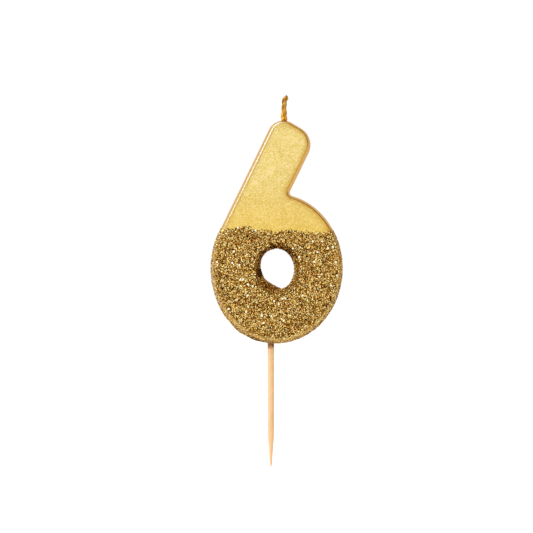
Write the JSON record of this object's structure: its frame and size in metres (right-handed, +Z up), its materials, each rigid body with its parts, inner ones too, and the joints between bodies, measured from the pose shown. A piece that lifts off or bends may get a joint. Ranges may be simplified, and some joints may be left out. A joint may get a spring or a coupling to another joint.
{
  "type": "number birthday candle",
  "caption": "Cake-top number candle: a wax numeral six with a gold lacquer skin and a glitter-crusted lower half, a plaited wick and a wooden pick.",
  "frame": {"origin": "on the wooden pick's axis, where the pick leaves the underside of the numeral and goes into the cake", "axes": "+Z up along the pick towards the wick, +X to the right seen from the front, so the front face looks along -Y and the flat poured back along +Y"},
  "size_m": [0.0426, 0.0098, 0.1186],
  "materials": {
    "wax": "paraffin wax, satin, seen only where the layers end",
    "gold_lacquer": "fine-grained pearl gold lacquer, satin",
    "adhesive": "dried clear glue over the gold, glossy",
    "glitter": "loose-laid metallised film glitter, 0.3 to 0.5 mm, sparkling",
    "wick_cotton": "waxed plaited cotton, dipped gold",
    "pick_wood": "plain sanded birch"
  },
  "bodies": {
    "root": {"wax_body": "wax", "gold_lacquer": "gold_lacquer", "adhesive_coat": "adhesive", "glitter_crust": "glitter", "wick_strand_1": "wick_cotton", "wick_strand_2": "wick_cotton", "wick_strand_3": "wick_cotton", "wooden_pick": "pick_wood"}
  },
  "joints": []
}
